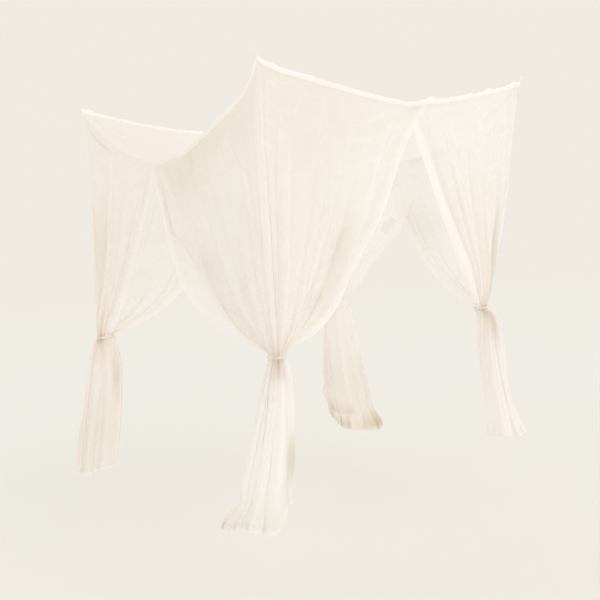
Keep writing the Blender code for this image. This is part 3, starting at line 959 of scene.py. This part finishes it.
# main folds, pleats, gathers under the header, and the curtain's own ribs and creases
def foldsOf(hanging, t, q):
    look, seed = curtainLook, hanging.shape["shift"]
    u = (t + hanging.reachBefore) / hanging.width
    main = look["mainFolds"]
    phase = 2 * math.pi * main["count"] * u + 1.1 * np.sin(2 * math.pi * 1.7 * u + seed)
    deep = 0.75 + 0.25 * np.sin(2 * math.pi * 2.3 * u + 2 * seed)
    out = table(main, q) * deep * np.sin(phase + seed)

    drift = 0.5 * np.sin(2.4 * q + 9 * u + seed) + 0.25 * np.sin(5.3 * q - 14 * u)
    for key, offset in (("pleats", 1), ("gathers", 5)):
        entry = look[key]
        phase = 2 * math.pi * (entry["count"] * u + 0.8 * wander(1.7 * u, seed + offset)) + drift
        out += table(entry, q) * (0.7 + 0.4 * wander(3.2 * u + 0.3 * q, seed)) * np.sin(phase)

    return out + ribsOf(hanging, t, q) - ribsOf(hanging, t, q, "creases")


# lines of t and q, each with its half width and height: ribs stand out, creases go in
def ribsOf(hanging, t, q, key="ribs"):
    out = 0 * t
    rises, fades = curtainLook["ribFade"]
    for line, wide, high in curtainsOwn[hanging.name][key]:
        places, heights = np.array(line).T
        at = np.interp(q, heights, places) + curtainLook["ribSway"] * np.sin(6 * q + 9 * places[0])
        fade = softStep((q - heights[0]) / rises) * softStep((heights[-1] - q) / fades)
        out = out + high * fade * bump(t - at, wide)
    return out


def crinklesOf(hanging, t, q):
    look, seed = curtainLook, hanging.shape["shift"]
    x, y = t, look["crinkleDown"] * q
    out = 0 * t
    for number, (turn, gap, high) in enumerate(look["crinkles"]):
        a = math.radians(turn)
        way = x * math.cos(a) + y * math.sin(a) + 0.035 * np.sin(
            5.1 * y - 3.7 * x + seed + number) + 0.012 * np.sin(17 * x + 13 * y + 2 * number)
        where = softStep(0.5 + 1.6 * cloud(0.7 * x + 3 * number, 0.7 * y, seed + number))
        out += high * where * bump((way / gap) % 1 - 0.5, look["crinkleWide"])
    return out * softStep(q / 0.05) * (1 - 0.7 * softStep((q - 0.7) / 0.3))


def clothPoint(hanging, t, q):
    point, outward, valley = tucked(hanging, t, q)
    out = foldsOf(hanging, t, q) + crinklesOf(hanging, t, q)
    return point + outward * out[..., None], valley


# the uneven lower edge: how far it stands out and how much lower it hangs
def footOf(hanging, t, q):
    out = 0 * t
    waver = curtainLook["footWaver"] * wander(1.3 * t, hanging.shape["shift"])
    down = waver * softStep((q - 1.72) / 0.28)
    for at, height, wide, tall, stand, drop in curtainsOwn[hanging.name]["lobes"]:
        spot = bump(t - at, wide) * bump(q - height, tall)
        out, down = out + stand * spot, down + drop * spot
    return out, down


# two amounts round a worn place: 1 in the hole, and 1 in the bunched net
def wornOf(hanging, t, q):
    worn = curtainsOwn[hanging.name].get("worn")
    if not worn:
        return 0 * t, 0 * t
    at, height, wide, tall = worn["hole"]
    ragged = 1 + 0.16 * cloud(4 * t, 5 * q, 1.0) + 0.10 * np.sin(47 * t + 30 * q)
    away = np.hypot((t - at) / wide, (q - height) / tall) / ragged
    places, heights = np.array(worn["bunched"]).T
    line = np.interp(q, heights, places)
    ends = softStep((q - heights[0]) / 0.05 + 1) * softStep((heights[-1] - q) / 0.10 + 0.5)
    strip = ends * softStep(1.6 - np.abs(t - line) / (worn["wide"] * ragged))
    ring = softStep((worn["ring"] - away) / 0.5)
    return (away < 1).astype(float), np.maximum(strip, ring)


# how a curtain is cut: metres across to each column between the side hems, the same for every
# column, and q of each row from the lower edge up. The turned hems are outermost.
def cutOf(hanging):
    look = curtainLook
    turned = np.linspace(0, 1, look["hemColumns"] + 1)[1:] * netFinish["sideHem"]
    inside = np.linspace(0, hanging.width, look["columns"] - 2 * look["hemColumns"])
    cut = np.concatenate([-turned[::-1], inside, hanging.width + turned])
    above = np.linspace(0, 1, look["rowsAbove"])
    above = 0.5 * above + 0.5 * (1 - np.cos(math.pi * above)) / 2  # closer at the ends
    leg = np.linspace(1, 2, look["rowsLeg"] + 1)[1:]
    hem = netFinish["footHem"] / look["legLength"]
    turned = 2 - hem * np.linspace(0, 1, look["hemRows"] + 1)[1:]
    return inside, cut, np.concatenate([above, leg, turned])[::-1]


# how far the cloth reaches for a metre of it, and the way it faces
def surfaceOf(hanging, points, inside, t, q):
    hem, step = curtainLook["hemColumns"], 0.0015
    alongT = np.gradient(points[:, hem:-hem], inside, axis=1)
    alongT = np.concatenate([alongT[:, hem:0:-1], alongT, alongT[:, -2:-2 - hem:-1]], axis=1)
    higher, lower = (hanging.base(t, np.clip(q + way * step, 0, 2))[0] for way in (-1, 1))
    return np.linalg.norm(alongT, axis=-1), unit(np.cross(alongT, higher - lower))


# painted shade, painted highlights and stains by colour, ragged at their rims
def shadeHighlightAndStainsOf(hanging, t, q):
    shadeHighlightAndStains = {"oliveShadeAndTone": 0 * t, "tanShadeAndStain": 0 * t, "whiteAndHighlight": 0 * t}
    for at, height, wide, tall, shade, amount in curtainsOwn[hanging.name]["shadeHighlightAndStains"]:
        ragged = 1 + 0.25 * cloud(3 * t, 4 * q, at)
        away = np.hypot((t - at) / wide, (q - height) / tall)
        shadeHighlightAndStains[shade] = shadeHighlightAndStains[shade] + amount * bump(away, ragged)
    return shadeHighlightAndStains


# what the net's finish reads at each point
def shadesOf(hanging, t, q, reached, valley, hole, bunched):
    look, shades, own = curtainLook, curtainShades, curtainsOwn[hanging.name]
    side = hanging.half(t, "reach") - np.abs(t)
    foot = (2 - q) * look["legLength"]
    legs = softStep((q - 0.95) / 0.12)
    rib = (ribsOf(hanging, t, q) / shades["fullRib"]
           + crinklesOf(hanging, t, q) / shades["fullCrinkle"])
    crease = ribsOf(hanging, t, q, "creases") / shades["fullCrease"]
    shadeHighlightAndStains = shadeHighlightAndStainsOf(hanging, t, q)
    edge = np.maximum(bump(side, shades["sideRim"]), bump(foot, shades["footRim"]))
    edge = np.maximum(edge, bunched)
    band = 0 * t
    for way, (amount, wide) in zip((-1, 1), own["bands"]):
        band += amount * (t * way > 0) * softStep(1.5 - side / wide) * (1 - legs)

    cover = 1 - look["clear"] ** np.clip(1 / np.maximum(reached, 0.05), 0.9, 4)
    cover = cover + shades["ribCover"] * rib + shades["bandCover"] * band
    cover = np.maximum(np.clip(cover, 0, shades["mostCover"]), shades["edgeCover"] * edge)

    patches = shades["patchOlive"] * cloud(0.8 * t, 1.2 * q, hanging.shape["shift"])
    # olive is painted shade: over the curtain, in its creases and at the bottoms of its tucks, with
    # patches of uneven tone
    oliveShadeAndTone = ((own["oliveShadeAndTone"] + patches) * (1 - 0.7 * legs) + shades["creaseShade"] * crease
             + valley * softStep(q / 0.5) * shades["valleyShade"] * (1 - legs))
    oliveShadeAndTone = (oliveShadeAndTone + shadeHighlightAndStains["oliveShadeAndTone"]) * (1 - edge)

    # painted light: the curtain's own whitening above the tie and in the leg
    above, below = own["paintedLight"]
    paintedLight = above + (below - above) * legs
    paintedLight = paintedLight + shades["neckPale"] * softStep((q - 0.45) / 0.5) * (1 - legs)
    # white: the hems' own whiteness, with painted highlights on ribs, crinkles, lit patches and lit
    # curtains
    whiteAndHighlight = paintedLight + shades["ribHighlight"] * np.clip(rib, 0, 1) * (1 - legs) + band + shadeHighlightAndStains["whiteAndHighlight"]
    return {
        "cover": cover * (1 - hole), "side": side, "foot": foot,
        "whiteAndHighlight": np.clip(np.maximum(edge, whiteAndHighlight), 0, 1),
        "oliveShadeAndTone": np.clip(oliveShadeAndTone, 0, 1), "tanShadeAndStain": np.clip(shadeHighlightAndStains["tanShadeAndStain"], 0, 1),
    }


def makeCurtain(name, finish):
    look, hanging = curtainLook, Hanging(name)
    inside, cut, rows = cutOf(hanging)
    across = np.where(cut > hanging.width, 2 * hanging.width - cut, np.abs(cut))
    t, q = np.meshgrid(across - hanging.reachBefore, rows)
    points, valley = clothPoint(hanging, t, q)
    out, down = footOf(hanging, t, q)
    hole, bunched = wornOf(hanging, t, q)
    out = out + curtainsOwn[name]["fuller"] * softStep((q - 1.02) / 0.25)
    out = out + look["ripple"] * bunched * np.sin(95 * t + 18 * q + 3 * np.sin(16 * q + 9 * t))
    points += hanging.base(t, q)[1] * out[..., None]
    points[..., 2] -= down

    reached, facing = surfaceOf(hanging, points, inside, t, q)
    sides, lower = (cut < 0) | (cut > hanging.width), np.arange(len(rows)) < look["hemRows"]
    layers = sides[None, :].astype(float) + lower[:, None]
    points -= facing * (look["hemGap"] * layers)[..., None]
    steps = np.linalg.norm(np.diff(points, axis=0), axis=-1)
    downCloth = np.concatenate([np.zeros_like(points[:1, :, 0]), np.cumsum(steps, axis=0)])
    uv = np.stack([np.broadcast_to(cut, t.shape), downCloth], axis=-1)
    turned = look["hemColumns"], look["columns"] - look["hemColumns"] - 1
    piece = gridPiece(f"curtainNet_{name}", points, finish, uv,
                      shadesOf(hanging, t, q, reached, valley, hole, bunched),
                      folds=(turned, (look["hemRows"],)))
    place(piece, "net", f"curtain_{name}")


roofLook = {
    "columns": 190,
    "rows": 180,
    "clear": 0.12,
    "rays": {"height": 0.010, "reach": 0.75, "count": 15},  # folds that run in from each corner
    "waves": {"across": 0.005, "along": 0.004, "patches": 0.003},
    "flatRim": 0.12,  # the folds fade out towards the edges
    "whiteAndHighlight": (0.1, 0.7),  # painted highlight: white by the front and left corners, and how much more by the other two
    "oliveShadeAndTone": (0.08, 0.05),  # painted shade all over, and in patches
}


def makeRoof(finish):
    look = roofLook
    p, q = np.meshgrid(np.linspace(0, 1, look["columns"]), np.linspace(0, 1, look["rows"]))
    points = roofPoint(p, q)
    x, y = p * longSide, q * shortSide
    toEdge = np.minimum(np.minimum(x, longSide - x), np.minimum(y, shortSide - y))
    rise = np.zeros_like(p)
    rays = look["rays"]
    for i, (atX, atY) in enumerate(((0, 0), (1, 0), (1, 1), (0, 1))):
        dx, dy = x - atX * longSide, y - atY * shortSide
        away, angle = np.hypot(dx, dy), np.arctan2(np.abs(dy), np.abs(dx))
        rise += rays["height"] * np.exp(-away / rays["reach"]) * softStep(away / 0.1) * np.sin(
            rays["count"] * angle + 1.7 * i + 2 * np.sin(3 * angle + i))
    waves = look["waves"]
    rise += waves["across"] * np.sin(21 * p + 3 * np.sin(4 * q)) * np.sin(3 * q + 1)
    rise += waves["along"] * np.sin(17 * q + 2.5 * np.sin(5 * p + 2))
    rise += waves["patches"] * cloud(x, y, 2.0)
    points[..., 2] += rise * softStep(toEdge / look["flatRim"])
    whiteAndHighlight = look["whiteAndHighlight"][0] + look["whiteAndHighlight"][1] * softStep(1.6 * p - 0.3)
    oliveShadeAndTone = look["oliveShadeAndTone"][0] + look["oliveShadeAndTone"][1] * cloud(x, y, 1.0)
    piece = gridPiece("roofNet", points, finish, np.stack([x, y], axis=-1),
                      plainNet(1 - look["clear"], whiteAndHighlight, oliveShadeAndTone))
    place(piece, "net", "roof_net")
    print("roof made")


headerLook = {
    "columns": 440,
    # the folded section: metres inside the sewing line, and above it
    "section": ((-.0016, -.0270), (-.0022, -.0200), (-.0026, -.0120), (-.0024, -.0040),
                (-.0018, .0004), (-.0004, .0016), (.0010, .0008), (.0016, -.0040),
                (.0018, -.0090)),
    "short": 0.004,
    "stitchAt": 0.004,  # the sewn row, from the lower outer edge
    "pucker": 0.0005,
    "waver": 0.0015,
    "ripple": 0.0008,
    "ragged": 0.002,
    "steady": 0.7,  # past this share of the way down outside, the fold hardly moves
    # puckers that stand up: metres from the first corner, half width, height
    "bumps": {
        ("front", "right"): ((0.10, .03, .004), (0.35, .03, .005), (0.62, .02, .004),
                             (0.96, .03, .004), (1.25, .055, .015), (1.42, .02, .004),
                             (1.60, .03, .006), (1.78, .035, .010), (2.02, .03, .009)),
        ("right", "rear"): ((0.10, .03, .006), (0.42, .05, .005), (1.3, .04, .006)),
        ("rear", "left"): ((0.5, .04, .005), (1.2, .05, .006), (1.8, .03, .004), (2.06, .05, .010)),
        ("left", "front"): ((0.3, .04, .005), (0.9, .05, .005), (1.55, .03, .004)),
    },
    "raised": {("rear", "left"): 0.015},  # this side's fold stands up above the sewing line
    # the one side bound in its own net, and where along it the net is doubled
    "sheer": {("left", "front"): {"cover": 0.60, "whiteAndHighlight": 0.3, "doubledFrom": 1.05,
                                  "doubledCover": 0.35}},
}


def makeHeader(a, b, tape, net):
    look = headerLook
    section = np.array(look["section"])
    width = np.concatenate([[0], np.cumsum(np.linalg.norm(np.diff(section, axis=0), axis=-1))])
    seed = 3.0 * list(edges).index((a, b)) + 1
    length = sideLength(a, b)
    distance = np.linspace(look["short"], length - look["short"], look["columns"])
    over, d = np.meshgrid(width, distance, indexing="ij")
    low = 1 - over / width[-1]
    steady = low > look["steady"]
    pucker = look["pucker"] * np.sin(190 * d + 3 * wander(4 * d, seed)) * low
    points = edgePoint(a, b, d, section[:, :1] + pucker)
    height = (section[:, 1:] + look["waver"] * wander(3.1 * d, seed)
              + look["ripple"] * np.sin(71 * d + seed))
    ragged = look["ragged"] * wander(9.0 * d, seed + 2) + look["raised"].get((a, b), 0)
    height = height + ragged * (1 - 0.8 * steady)
    for at, wide, high in look["bumps"][(a, b)]:
        height = height + high * bump(d - at, wide) * (1 - 0.7 * steady)
    points[..., 2] += height
    sheer = look["sheer"].get((a, b))
    attributes = None
    if sheer:
        doubled = softStep((d - sheer["doubledFrom"]) / 0.15)
        attributes = plainNet(sheer["cover"] + sheer["doubledCover"] * doubled,
                              np.clip(sheer["whiteAndHighlight"] + doubled, 0, 1))
    uv = np.stack([d, over], axis=-1)
    piece = gridPiece(f"headerTape_{a}_{b}", points, net if sheer else tape, uv, attributes)
    place(piece, "tape", f"header_{a}_{b}")


tieLook = {
    "height": 0.013,
    "thick": 0.0024,
    "foldRoom": 0.0062,  # the cloth's folds stand this far out of the neck, with the tie on them
    "around": 128,
    "section": 14,
    "twists": 5,
    "ropy": 0.22,
    "waver": 0.0012,
    "lift": 0.0016,  # one side of the band sits this much higher
    "gathered": 1.05,  # the strip's flat height, for a metre of its height
    "knot": (0.011, 0.010, 0.008),  # half sizes
    "knotOut": 0.6,  # share of the knot's depth that stands out of the tie
}


def makeTie(name, finish):
    look, hanging = tieLook, Hanging(name)
    seed = hanging.shape["shift"]
    deep, wide = (size + look["foldRoom"] for size in hanging.shape["neck"])
    angle, turn = np.meshgrid(np.linspace(0, 2 * math.pi, look["around"] + 1),
                              np.linspace(0, 2 * math.pi, look["section"] + 1))
    # a strip of net wound flat, its edges rolled, its layers slightly twisted
    ropy = 1 + look["ropy"] * np.sin(3 * turn + look["twists"] * angle + seed)
    out = look["thick"] / 2 * np.cos(turn) * ropy + look["waver"] * np.sin(4 * angle + seed)
    up = look["height"] / 2 * np.sin(turn) * (0.9 + 0.1 * np.sin(2 * angle + seed))
    up = up + look["lift"] * np.sin(angle + seed) + 0.0006 * np.sin(7 * angle)
    points = (hanging.knot + hanging.outward * ((deep + out) * np.cos(angle))[..., None]
              + hanging.across * ((wide + out) * np.sin(angle))[..., None])
    points[..., 2] += up
    uv = np.stack([angle * (deep + wide) / 2, turn * look["height"] / math.pi], axis=-1)
    # the tie's faint tan is painted shade
    attributes = plainNet(cover=0.93, whiteAndHighlight=0.4, tanShadeAndStain=0.05)
    band = gridPiece(f"tieNet_{name}", points, finish, uv, attributes, closed=True)

    # the flat knot on its inner side, with the strip's turns showing in it
    aroundKnot, over = np.meshgrid(np.linspace(0, 2 * math.pi, 33), np.linspace(0, math.pi, 21))
    size = 1 + 0.10 * np.sin(3 * aroundKnot + 4 * over) + 0.05 * np.sin(7 * over)
    size = np.where(np.abs(over - math.pi / 2) > 1.5, 1.0, size)  # closed at its poles
    at = hanging.knot - hanging.outward * (deep + look["knotOut"] * look["knot"][0])
    ways = hanging.outward, hanging.across, np.array((0.0, 0.0, 1.0))
    shape = (np.sin(over) * np.cos(aroundKnot), np.sin(over) * np.sin(aroundKnot), np.cos(over))
    points = at + sum((size * part * reach)[..., None] * way
                      for part, reach, way in zip(shape, look["knot"], ways))
    uv = np.stack([0.01 * aroundKnot, 0.01 * over], axis=-1)
    knot = gridPiece(f"tieKnot_{name}", points, finish, uv, attributes, closed=True)
    for piece in (band, knot):
        place(piece, "tie", f"tie_{name}")


loopLook = {
    "reach": 0.0258,  # from the loop's foot to its outer end
    "standoff": 0.006,
    "width": 0.020,
    "tape": 0.010,
    "thick": 0.0009,
    "wall": 0.0018,  # of the frame's loop, whose middle the tape follows
    "bulge": 0.65,
    "apart": 0.0008,  # each sewn end, from the middle between them
    "tail": 0.016,  # the two sewn ends, down over the header
    "steps": 64,
    "turned": {"front": 38.0, "right": 34.0, "rear": 30.0, "left": 42.0},  # degrees
}


def makeLoop(name, finish):
    look = loopLook
    pull = np.array(hooks[name]["axis"])
    flat, turned = np.array((0.0, 1.0, 0.0)), math.radians(look["turned"][name])
    side = flat * math.cos(turned) + np.cross(pull, flat) * math.sin(turned)
    bow = np.cross(side, pull)
    # one strip: up from its sewn end, round the hook and back down beside itself
    turn = np.linspace(0, 2 * math.pi, look["steps"])
    ring = np.stack([look["standoff"] + look["reach"] * (1 - np.cos(turn)) / 2 - look["thick"],
                     -look["bulge"] * (look["width"] - look["wall"]) * np.sin(turn)
                     * np.sin(turn / 2)], axis=-1)
    foot = look["standoff"] - look["tail"] * np.linspace(1, 0.08, 8)
    ends = [np.stack([foot, way * look["apart"] * np.ones_like(foot)], axis=-1)
            for way in (-1, 1)]
    line = np.concatenate([ends[0], ring, ends[1][::-1]])
    path = cornerAt[name] + line[:, :1] * pull + line[:, 1:] * bow
    out = np.gradient(line, axis=0)
    out = unit(np.stack([-out[:, 1], out[:, 0]], axis=-1))
    thick = out[:, :1] * pull + out[:, 1:] * bow
    length = np.concatenate([[0], np.cumsum(np.linalg.norm(np.diff(path, axis=0), axis=-1))])
    # across the tape: a flat section with rounded edges
    angle = np.linspace(0, 2 * math.pi, 13)
    wide = look["tape"] / 2 * np.sign(np.cos(angle)) * np.abs(np.cos(angle)) ** 0.5
    high = look["thick"] / 2 * np.sign(np.sin(angle)) * np.abs(np.sin(angle)) ** 0.7
    points = (path[:, None] + side * wide[None, :, None]
              + thick[:, None] * high[None, :, None])
    uv = np.stack(np.broadcast_arrays(length[:, None], wide[None, :] + look["tape"] / 2), axis=-1)
    piece = gridPiece(f"loopTape_{name}", points, finish, uv, closed=True)
    place(piece, "tape", f"loop_{name}")


makeCamera()
makeStudio()
net = netMaterial()
tape = tapeMaterial()
makeRoof(net)
for a, b in edges:
    makeHeader(a, b, tape, net)
for corner in names:
    makeCurtain(corner, net)
    makeTie(corner, net)
    makeLoop(corner, tape)
print("headers, ties and loops made")
